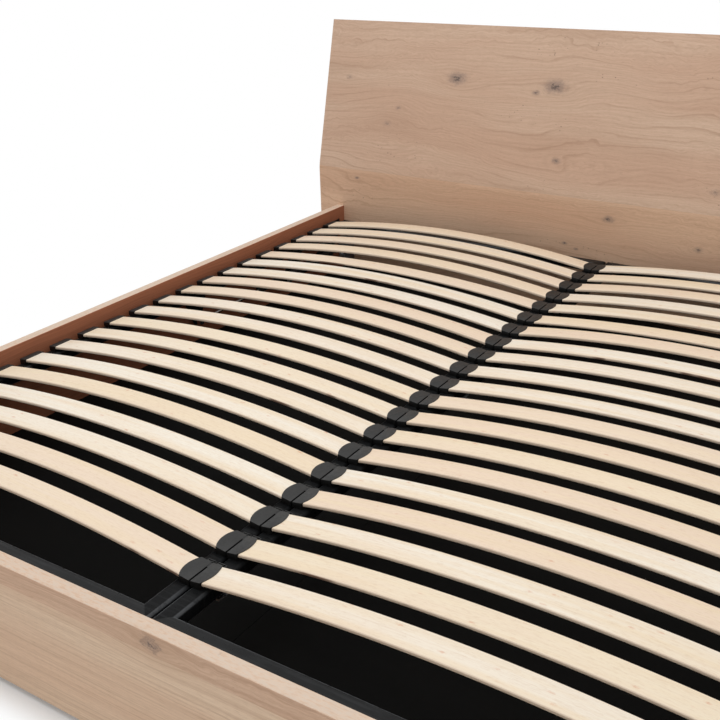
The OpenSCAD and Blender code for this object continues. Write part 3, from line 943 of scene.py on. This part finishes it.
def slat_row(side):
    """A bank's box, and the values that set a piece at each of its slats."""
    sizes = bpy.context.scene.bed_slats
    low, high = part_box("slats_" + side)
    return low, high, {
        "Count": sizes.count, "First": high[1] - sizes.width / 2,
        "Pitch": (high[1] - low[1] - sizes.width) / (sizes.count - 1)}


class BED_OT_slats(bpy.types.Operator):
    """Bends and repeats the birch slats of both banks"""
    bl_idname = "bed.slats"
    bl_label = "Bowed Slats"

    def execute(self, context):
        sizes = context.scene.bed_slats
        birch = birch_finish()
        tree = slat_tree(birch)
        gap, above = 0.0012, 0.0008  # room at a slat's ends and under it
        for side, slack, factor, seed in (("left", 4, 0.84, 3), ("right", 5, 0.86, 8)):
            low, high, values = slat_row(side)
            values.update({
                "Start": low[0] + gap, "Span": high[0] - low[0] - 2 * gap,
                "Seat": low[2] + sizes.thickness / 2 + above, "Width": sizes.width,
                "Thickness": sizes.thickness, "Rise": sizes.rise, "Edge": sizes.edge,
                "Slack Slat": slack, "Slack": factor, "Seed": seed})
            blank = add_object("bank_" + side, bpy.data.meshes.new("bank_" + side))
            bank = bake(blank, tree, values, side + "_slat_bank", birch)
            finish_piece(bank, LIFT, "birch", "slats_" + side)
        return {"FINISHED"}


def lens_outline(inner, chord, bulge, half):
    """Plan of half a centre holder: straight at the slit and bowed over the slat."""
    steps = [1.0 - k / 6 for k in range(13)]
    return [(inner, -half), (inner, half)] + [
        (chord + bulge * (1.0 - t * t), half * t) for t in steps]


def cap_solid(built, outline, high, root, slope, edge):
    """A moulded cap on the tube whose top rises away from its root."""
    top = add_prism(built, outline, TUBE_TOP, TUBE_TOP + high)
    for v in top:
        v.co.z += slope * abs(v.co.x - root)
    round_edges(built, [e for e in built.edges if all(v in top for v in e.verts)], edge)


def half_holder(inner, chord, bulge, half, slope):
    """The right half of a centre holder, whose low ribbed plate snaps on the tube."""
    built = bmesh.new()
    cap_solid(built, lens_outline(inner, chord, bulge, half), CENTRE_CAP, inner, slope,
              CENTRE_ROUND)
    add_block(built, (inner, half - 0.002, TUBE_TOP),
              (chord - 0.002, half + PLATE, TUBE_TOP + PLATE_TOP))
    for k in range(3):
        at = half + RIB + RIB_PITCH * k
        add_block(built, (inner + 0.002, at, TUBE_TOP + PLATE_TOP - SINK),
                  (chord - 0.005, at + RIB, TUBE_TOP + RIB_TOP))
    return built


class BED_OT_holders(bpy.types.Operator):
    """Moulds the centre and side holders and repeats them along the slats"""
    bl_idname = "bed.holders"
    bl_label = "Slat Holders"

    def execute(self, context):
        sizes = context.scene.bed_holders
        # The last value sets the strength of the painted rim highlight.
        plastic = plastic_finish("holder_plastic", sizes.black, 0.42, 900.0, 0.6)
        tree = repeat_tree("holders_down_the_bank", plastic)
        low, high, values = slat_row("right")
        # The caps rise as steeply as the slats' ends.
        slope = 4.0 * context.scene.bed_slats.rise / (high[0] - low[0])
        half = sizes.length / 2
        low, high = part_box("centre_holders_right")
        built = bmesh.new()
        for side in ("left", "right"):
            part = half_holder(low[0], high[0] - sizes.bulge, sizes.bulge, half, slope)
            if side == "left":
                mirror(part)
            mesh = mesh_from("half", part)
            built.from_mesh(mesh)
            bpy.data.meshes.remove(mesh)
        # Web that joins the two halves at the far end of the slit.
        web = low[0] + 0.0008
        add_block(built, (-web, half - 0.014, TUBE_TOP + 0.002),
                  (web, half - 0.001, TUBE_TOP + CENTRE_CAP - 0.0008))
        pair = object_from("centre_holder", built, plastic)
        row = bake(pair, tree, values, "centre_holder_row", plastic)
        finish_piece(row, LIFT, "holder_plastic", "centre_holders_left",
                     "centre_holders_right")

        for side in ("left", "right"):
            low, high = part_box("side_holders_" + side)
            inner, outer = sorted((abs(low[0]), abs(high[0])))
            r = SIDE_CORNER
            built = bmesh.new()
            cap_solid(built, [
                (inner, -half), (outer - r, -half), (outer - r * 0.3, -half + r * 0.3),
                (outer, -half + r), (outer, half - r), (outer - r * 0.3, half - r * 0.3),
                (outer - r, half), (inner, half)], SIDE_CAP, outer, slope, SIDE_ROUND)
            if side == "left":
                mirror(built)
            cap = object_from("side_holder_" + side, built, plastic)
            row = bake(cap, tree, values, side + "_side_holder_row", plastic)
            finish_piece(row, LIFT, "holder_plastic", "side_holders_" + side)
        return {"FINISHED"}


class BED_OT_steel_base(bpy.types.Operator):
    """Coats the steel tubes, lugs, hinge plates and rest brackets"""
    bl_idname = "bed.steel_base"
    bl_label = "Steel Bases"

    def execute(self, context):
        coat = coat_finish("black_powder_coat", 0.6, 0.14)
        # A copy of the coat with painted shade for the centre tubes: less painted highlight and
        # less shine, as holders and slats shade them.
        shaded_coat = coat_finish("black_coat_painted_shade", 0.08, 0.05)
        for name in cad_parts:
            if name.startswith("base_centre"):
                paint_nodes(shaded_coat, name)
            elif name.startswith(("base_side", "base_foot", "base_head", "pivot_lug",
                                  "strut_lug", "hinge_plate", "rest_brackets")):
                paint_nodes(coat, name)
        return {"FINISHED"}


def socket_screw(radius, height, material):
    """A domed screw head with a hexagon socket, seated on z = 0."""
    built = bmesh.new()
    sides = 24
    angles = [math.tau * k / sides for k in range(sides)]

    def ring(z, reaches):
        return [built.verts.new((r * math.cos(a), r * math.sin(a), z))
                for r, a in zip(reaches, angles)]

    def hexagon(z, size):
        return ring(z, [size / math.cos((a + math.pi / 6) % (math.pi / 3) - math.pi / 6)
                        for a in angles])

    dome = ((1.0, 0.0), (1.0, 0.35), (0.93, 0.72), (0.74, 0.97), (0.50, 1.0))
    loops = [ring(height * up, [radius * across] * sides) for across, up in dome]
    loops += [hexagon(height, radius * 0.36), hexagon(height * 0.4, radius * 0.34)]
    for lower, upper in zip(loops, loops[1:]):
        bridge(built, lower, upper)
    built.faces.new(loops[0][::-1])
    built.faces.new(loops[-1])
    return object_from("socket_screw", built, material)


def bolt_points(cad):
    """Points with facings where a node's bolts seat, and the radius and height of a head."""
    built = bmesh.new()
    built.from_mesh(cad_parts[cad].data)
    bmesh.ops.remove_doubles(built, verts=built.verts[:], dist=WELD)
    groups = loose_parts(built)
    built.free()
    inward = cad != "lug_bolts"
    places, ways = [], []
    for low, high in groups:
        middle = (low + high) / 2
        way = -1.0 if (middle.x > 0) == inward else 1.0
        ways.append(way)
        places.append((high.x if way < 0 else low.x, middle.y, middle.z))
    mesh = bpy.data.meshes.new(cad + "_places")
    mesh.from_pydata(places, [], [])
    facing = mesh.attributes.new("facing", "FLOAT_VECTOR", "POINT")
    for k, way in enumerate(ways):
        facing.data[k].vector = (way, 0.0, 0.0)
    return add_object(cad + "_places", mesh), (high.y - low.y) / 2, high.x - low.x


class BED_OT_lift_gear(bpy.types.Operator):
    """Finishes the struts, pins, joiners and corner angles, and sets the screws"""
    bl_idname = "bed.lift_gear"
    bl_label = "Lift Gear"

    def execute(self, context):
        zinc = metal_finish("zinc_plate", context.scene.bed_steel.zinc, 0.3)
        paint_nodes(zinc, "corner_angles", "hinge_pins", "strut_studs", "base_joiners")
        paint_nodes(metal_finish("polished_rod", (0.72, 0.73, 0.75), 0.1),
                    "strut_rod_left", "strut_rod_right")
        paint_nodes(plastic_finish("strut_lacquer", (0.012, 0.012, 0.013), 0.25, 600.0),
                    "strut_cylinder_left", "strut_cylinder_right")
        tree = scatter_tree("screws_at_points", zinc)
        for cad, body in (("corner_bolts", BED), ("hinge_bolts", BED), ("lug_bolts", LIFT)):
            points, radius, height = bolt_points(cad)
            screw = socket_screw(radius, height, zinc)
            piece = bake(points, tree, {"Piece": screw}, cad.replace("bolts", "screws"), zinc)
            bpy.data.objects.remove(screw)
            finish_piece(piece, body, "zinc", cad)
        return {"FINISHED"}


# ---------------- studio

FLOOR_HALF = 120.0
LAMP_SIZE, LAMP_PLACE, LAMP_AIM = 2.8, (-0.05, -0.50, 3.10), (0.0, 0.0, 0.25)
CAMERA_PLACE = (0.988, -1.9303, 1.227)
CAMERA_RIGHT, CAMERA_AHEAD = (0.8399, 0.5423, -0.0228), (-0.5034, 0.7627, -0.4061)


def empty_tree(owner):
    """The node tree of a material or a world, with nothing in it."""
    owner.use_nodes = True
    owner.node_tree.nodes.clear()
    return owner.node_tree


class BED_OT_studio(bpy.types.Operator):
    """Sets the pale floor, the soft lights and the camera"""
    bl_idname = "bed.studio"
    bl_label = "Studio"

    def execute(self, context):
        scene = context.scene
        sizes = scene.bed_studio
        built = bmesh.new()
        bmesh.ops.create_grid(built, x_segments=1, y_segments=1, size=FLOOR_HALF)
        made = bpy.data.materials.new("pale_floor")
        tree = empty_tree(made)
        matt = node(tree, "ShaderNodeBsdfDiffuse", {"Color": (0.8, 0.8, 0.8, 1.0)})
        seen = out(node(tree, "ShaderNodeLightPath"), "Is Camera Ray")
        glow = node(tree, "ShaderNodeEmission", {"Strength": seen * sizes.glow})
        both = node(tree, "ShaderNodeAddShader", {0: matt, 1: glow})
        # Away from the bed, the floor as seen melts into the white room.
        spot = split(out(node(tree, "ShaderNodeTexCoord"), "Object"))
        off_x, off_y = (calc("MAXIMUM", 0.0, abs(spot[k]) - CAD_BOX[1][k]) for k in (0, 1))
        far = calc("SQRT", off_x * off_x + off_y * off_y)
        melt = band(far, 0.0, sizes.melt) * seen
        white = node(tree, "ShaderNodeEmission", {"Strength": 1.0})
        mixed = node(tree, "ShaderNodeMixShader", {0: melt, 1: both, 2: white})
        node(tree, "ShaderNodeOutputMaterial", {"Surface": mixed})
        mesh = mesh_from("studio_floor", built)
        mesh.materials.append(made)
        floor = add_object("studio_floor", mesh)

        world = bpy.data.worlds.new("soft_room")
        scene.world = world
        tree = empty_tree(world)
        # The room is white to the eye, in mirrors and through clear things.
        path = node(tree, "ShaderNodeLightPath")
        seen = calc("MAXIMUM", out(path, "Is Camera Ray"), calc(
            "MAXIMUM", out(path, "Is Glossy Ray"), out(path, "Is Transmission Ray")))
        strength = seen * (1.0 - sizes.sky) + sizes.sky
        back = node(tree, "ShaderNodeBackground",
                    {"Color": (1.0, 1.0, 1.0, 1.0), "Strength": strength})
        node(tree, "ShaderNodeOutputWorld", {"Surface": back})

        lamp = bpy.data.lights.new("overhead_softbox", "AREA")
        lamp.energy = sizes.lamp
        lamp.shape = "SQUARE"
        lamp.size = LAMP_SIZE
        light = add_object("overhead_softbox", lamp)
        light.location = LAMP_PLACE
        aim = Vector(LAMP_AIM) - light.location
        light.rotation_euler = aim.to_track_quat("-Z", "Y").to_euler()

        camera_data = bpy.data.cameras.new("camera")
        camera_data.lens = sizes.lens
        camera_data.sensor_width = 36.0
        camera_data.clip_end = 400.0
        camera = add_object("camera", camera_data)
        right = Vector(CAMERA_RIGHT).normalized()
        ahead = Vector(CAMERA_AHEAD).normalized()
        turn = Matrix((right, right.cross(ahead), -ahead)).transposed()
        camera.matrix_world = Matrix.Translation(CAMERA_PLACE) @ turn.to_4x4()
        scene.camera = camera
        scene.view_settings.view_transform = "Standard"
        return {"FINISHED"}


class BED_PT_sidebar(bpy.types.Panel):
    """Lists the bed's pieces"""
    bl_idname = "BED_PT_sidebar"
    bl_label = "Oak Bed"
    bl_space_type = "VIEW_3D"
    bl_region_type = "UI"
    bl_category = "Oak Bed"

    def draw(self, context):
        for group, kind in GROUPS.items():
            box = self.layout.box()
            for key in kind.__annotations__:
                box.prop(getattr(context.scene, group), key)
        for operator in PIECES + (BED_OT_studio,):
            self.layout.operator(operator.bl_idname)


GROUPS = {"bed_panels": PanelSettings, "bed_slats": SlatSettings,
          "bed_holders": HolderSettings, "bed_steel": SteelSettings,
          "bed_studio": StudioSettings}
PIECES = (BED_OT_oak_panels, BED_OT_storage_floor, BED_OT_slats, BED_OT_holders,
          BED_OT_steel_base, BED_OT_lift_gear)
CLASSES = tuple(GROUPS.values()) + PIECES + (BED_OT_studio, BED_PT_sidebar)


def register():
    for item in CLASSES:
        bpy.utils.register_class(item)
    for key, group in GROUPS.items():
        setattr(bpy.types.Scene, key, bpy.props.PointerProperty(type=group))


def unregister():
    for key in GROUPS:
        delattr(bpy.types.Scene, key)
    for item in reversed(CLASSES):
        bpy.utils.unregister_class(item)


def main():
    register()
    for operator in PIECES + (BED_OT_studio,):
        getattr(bpy.ops.bed, operator.bl_idname.split(".")[1])()


if __name__ == "__main__":
    main()
